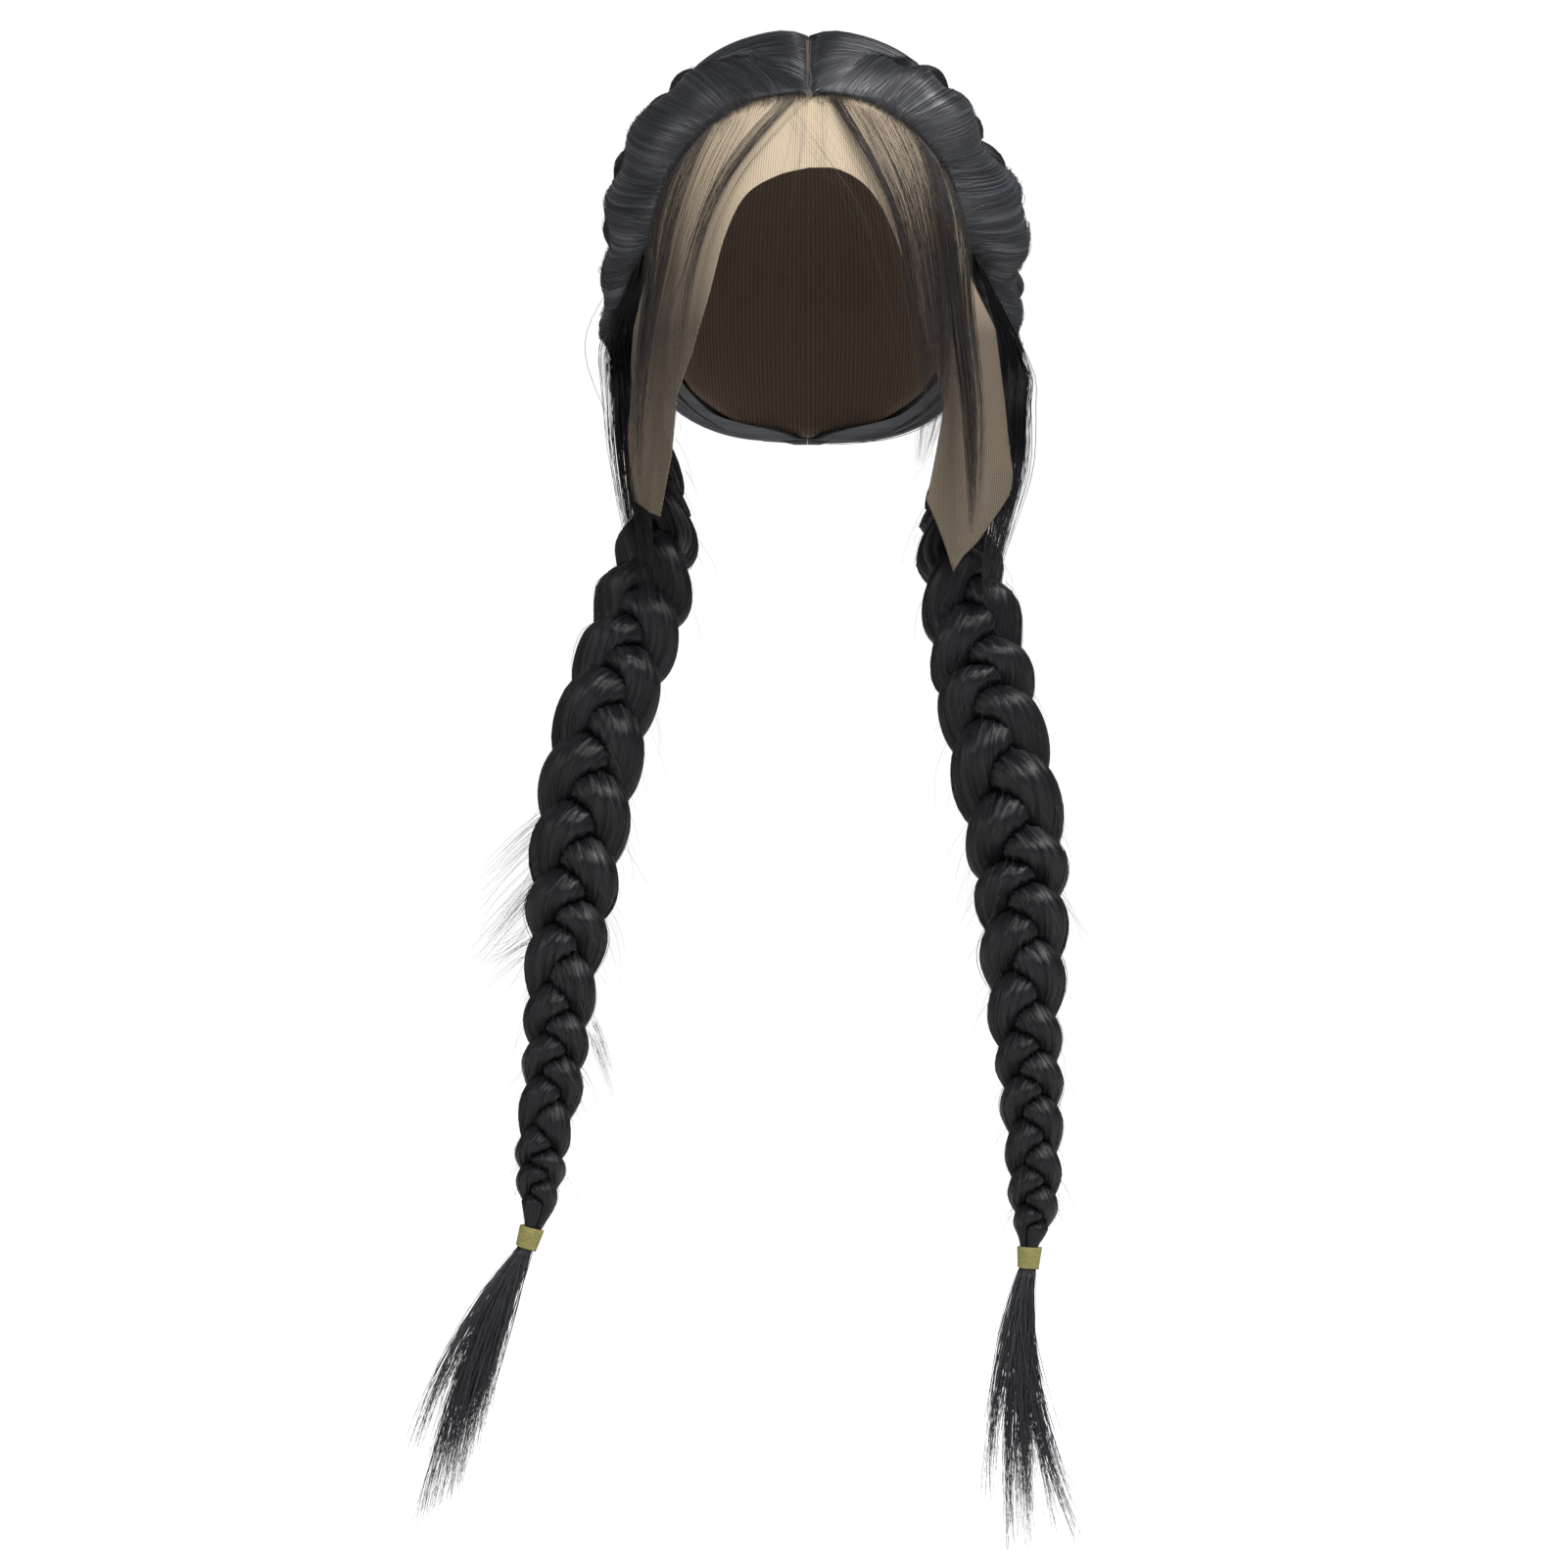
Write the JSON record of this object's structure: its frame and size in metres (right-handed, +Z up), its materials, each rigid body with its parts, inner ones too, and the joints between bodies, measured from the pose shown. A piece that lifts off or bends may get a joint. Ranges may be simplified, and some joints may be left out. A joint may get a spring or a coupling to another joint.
{
  "type": "braid wig",
  "caption": "Long black wig on a net cap with a lace front, centre part, loose front locks and two hanging three-strand braids tied with thread.",
  "frame": {"origin": "top of the head that the wig is worn on, on the cap's inner face", "axes": "+Z up, the wig faces -Y, +X towards the right braid as the front view shows it"},
  "size_m": [0.302, 0.1908, 0.6942],
  "materials": {
    "hair": "black synthetic fibre with a soft sheen",
    "lace": "sheer tan net",
    "net": "matt light brown net",
    "thread": "wound olive yellow thread"
  },
  "bodies": {
    "root": {"cap": "net", "lace_front": "lace", "hair_left": "hair", "hair_right": "hair", "braid_left_strand_a": "hair", "braid_left_strand_b": "hair", "braid_left_strand_c": "hair", "braid_right_strand_a": "hair", "braid_right_strand_b": "hair", "braid_right_strand_c": "hair", "tie_left": "thread", "tie_right": "thread", "tail_left": "hair", "tail_right": "hair", "bang_left_inner": "hair", "bang_left_outer": "hair", "bang_right_inner": "hair", "bang_right_outer": "hair", "side_lock_left": "hair", "side_lock_right": "hair"}
  },
  "joints": []
}
